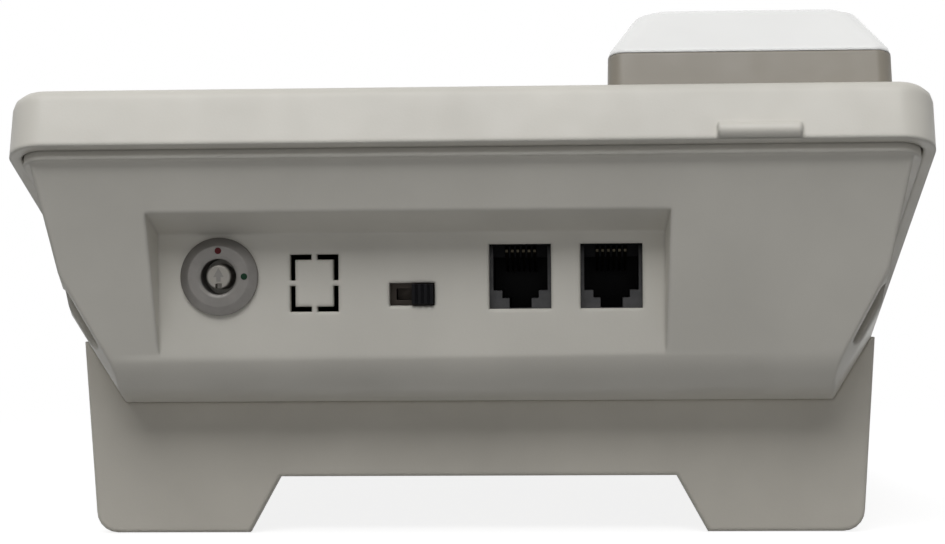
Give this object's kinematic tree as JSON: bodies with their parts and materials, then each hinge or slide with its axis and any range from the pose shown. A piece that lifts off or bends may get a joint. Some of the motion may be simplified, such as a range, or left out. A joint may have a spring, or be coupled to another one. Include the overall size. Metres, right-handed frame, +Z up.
{
  "type": "corded desk telephone",
  "caption": "Corded desk telephone on a wedge stand, with a handset in its bay, push keys, a display and a recessed rear panel with line sockets, mode switch and key lock.",
  "frame": {"origin": "centre of the bounding box at desk level", "axes": "+Z up, +Y towards the rear socket panel, +X towards the user's right; the handset is on the user's left"},
  "size_m": [0.164, 0.1767, 0.0958],
  "materials": {
    "housing_plastic": "fine satin texture",
    "stand_plastic": "fine satin texture",
    "handset_grey": "satin",
    "handset_white": "polished",
    "key_plastic": "satin",
    "soft_key_plastic": "satin",
    "socket_plastic": "satin black",
    "knob_plastic": "satin black",
    "contact_brass": "plated",
    "switch_metal": "tinned",
    "lock_chrome": "bright plated",
    "screw_steel": "zinc plated",
    "wafer": "hard paper",
    "board": "lacquered laminate",
    "mat_rubber": "matt",
    "foot_rubber": "matt",
    "display": "grey-green panel",
    "lens": "clear, polished",
    "speaker": "black"
  },
  "bodies": {
    "housing": {"base_shell": "housing_plastic", "top_shell": "housing_plastic", "stand": "stand_plastic", "front_feet": "foot_rubber", "housing_screws": "screw_steel", "line_board": "board", "line_board_screws": "screw_steel", "line_socket_out": "socket_plastic", "line_socket_in": "socket_plastic", "socket_contacts": "contact_brass", "mode_switch": "switch_metal", "lock_barrel": "lock_chrome", "lock_nut": "screw_steel", "lock_wafer": "wafer", "keypad_board": "board", "keypad_board_screws": "screw_steel", "keypad_mat": "mat_rubber", "display_module": "display", "display_lens": "lens", "ringer_speaker": "speaker", "hook_switch": "socket_plastic", "base_cord_socket": "socket_plastic"},
    "handset": {"handset_lower_shell": "handset_grey", "handset_upper_shell": "handset_white", "handset_cord_socket": "socket_plastic", "receiver_capsule": "speaker", "microphone_capsule": "switch_metal", "handset_screws": "screw_steel"},
    "hook": {"hook_plunger": "knob_plastic"},
    "mode_knob": {"mode_knob": "knob_plastic"},
    "lock_plug": {"lock_plug": "lock_chrome"},
    "key_1": {"key_1": "key_plastic"},
    "key_2": {"key_2": "key_plastic"},
    "key_3": {"key_3": "key_plastic"},
    "key_4": {"key_4": "key_plastic"},
    "key_5": {"key_5": "key_plastic"},
    "key_6": {"key_6": "key_plastic"},
    "key_7": {"key_7": "key_plastic"},
    "key_8": {"key_8": "key_plastic"},
    "key_9": {"key_9": "key_plastic"},
    "key_star": {"key_star": "key_plastic"},
    "key_0": {"key_0": "key_plastic"},
    "key_hash": {"key_hash": "key_plastic"},
    "key_flash": {"key_flash": "soft_key_plastic"},
    "key_redial": {"key_redial": "soft_key_plastic"},
    "key_mute": {"key_mute": "soft_key_plastic"},
    "key_hold": {"key_hold": "soft_key_plastic"},
    "key_quieter": {"key_quieter": "soft_key_plastic"},
    "key_louder": {"key_louder": "soft_key_plastic"}
  },
  "joints": [
    {"name": "handset_lift", "type": "slide", "parent": "housing", "child": "handset", "axis": [0, -0.342, 0.9397], "range_m": [0, 0.08]},
    {"name": "hook_slide", "type": "slide", "parent": "housing", "child": "hook", "axis": [0, -0.342, 0.9397], "range_m": [0, 0.005]},
    {"name": "mode_slide", "type": "slide", "parent": "housing", "child": "mode_knob", "axis": [1, 0, 0], "range_m": [0, 0.0039]},
    {"name": "lock_turn", "type": "hinge", "parent": "housing", "child": "lock_plug", "pos_m": [0.0459, 0.0722, 0.0483], "axis": [0, -1, 0], "range_deg": [0, 90]},
    {"name": "key_1_press", "type": "slide", "parent": "housing", "child": "key_1", "axis": [0, 0.342, -0.9397], "range_m": [0, 0.0012], "stiffness_N_per_m": 200, "springref_m": -0.002},
    {"name": "key_2_press", "type": "slide", "parent": "housing", "child": "key_2", "axis": [0, 0.342, -0.9397], "range_m": [0, 0.0012], "stiffness_N_per_m": 200, "springref_m": -0.002},
    {"name": "key_3_press", "type": "slide", "parent": "housing", "child": "key_3", "axis": [0, 0.342, -0.9397], "range_m": [0, 0.0012], "stiffness_N_per_m": 200, "springref_m": -0.002},
    {"name": "key_4_press", "type": "slide", "parent": "housing", "child": "key_4", "axis": [0, 0.342, -0.9397], "range_m": [0, 0.0012], "stiffness_N_per_m": 200, "springref_m": -0.002},
    {"name": "key_5_press", "type": "slide", "parent": "housing", "child": "key_5", "axis": [0, 0.342, -0.9397], "range_m": [0, 0.0012], "stiffness_N_per_m": 200, "springref_m": -0.002},
    {"name": "key_6_press", "type": "slide", "parent": "housing", "child": "key_6", "axis": [0, 0.342, -0.9397], "range_m": [0, 0.0012], "stiffness_N_per_m": 200, "springref_m": -0.002},
    {"name": "key_7_press", "type": "slide", "parent": "housing", "child": "key_7", "axis": [0, 0.342, -0.9397], "range_m": [0, 0.0012], "stiffness_N_per_m": 200, "springref_m": -0.002},
    {"name": "key_8_press", "type": "slide", "parent": "housing", "child": "key_8", "axis": [0, 0.342, -0.9397], "range_m": [0, 0.0012], "stiffness_N_per_m": 200, "springref_m": -0.002},
    {"name": "key_9_press", "type": "slide", "parent": "housing", "child": "key_9", "axis": [0, 0.342, -0.9397], "range_m": [0, 0.0012], "stiffness_N_per_m": 200, "springref_m": -0.002},
    {"name": "key_star_press", "type": "slide", "parent": "housing", "child": "key_star", "axis": [0, 0.342, -0.9397], "range_m": [0, 0.0012], "stiffness_N_per_m": 200, "springref_m": -0.002},
    {"name": "key_0_press", "type": "slide", "parent": "housing", "child": "key_0", "axis": [0, 0.342, -0.9397], "range_m": [0, 0.0012], "stiffness_N_per_m": 200, "springref_m": -0.002},
    {"name": "key_hash_press", "type": "slide", "parent": "housing", "child": "key_hash", "axis": [0, 0.342, -0.9397], "range_m": [0, 0.0012], "stiffness_N_per_m": 200, "springref_m": -0.002},
    {"name": "key_flash_press", "type": "slide", "parent": "housing", "child": "key_flash", "axis": [0, 0.342, -0.9397], "range_m": [0, 0.0012], "stiffness_N_per_m": 200, "springref_m": -0.002},
    {"name": "key_redial_press", "type": "slide", "parent": "housing", "child": "key_redial", "axis": [0, 0.342, -0.9397], "range_m": [0, 0.0012], "stiffness_N_per_m": 200, "springref_m": -0.002},
    {"name": "key_mute_press", "type": "slide", "parent": "housing", "child": "key_mute", "axis": [0, 0.342, -0.9397], "range_m": [0, 0.0012], "stiffness_N_per_m": 200, "springref_m": -0.002},
    {"name": "key_hold_press", "type": "slide", "parent": "housing", "child": "key_hold", "axis": [0, 0.342, -0.9397], "range_m": [0, 0.0012], "stiffness_N_per_m": 200, "springref_m": -0.002},
    {"name": "key_quieter_press", "type": "slide", "parent": "housing", "child": "key_quieter", "axis": [0, 0.342, -0.9397], "range_m": [0, 0.0012], "stiffness_N_per_m": 200, "springref_m": -0.002},
    {"name": "key_louder_press", "type": "slide", "parent": "housing", "child": "key_louder", "axis": [0, 0.342, -0.9397], "range_m": [0, 0.0012], "stiffness_N_per_m": 200, "springref_m": -0.002}
  ],
  "couplings": [
    {"joint": "hook_slide", "follows": "handset_lift", "ratio": 0.0625}
  ]
}
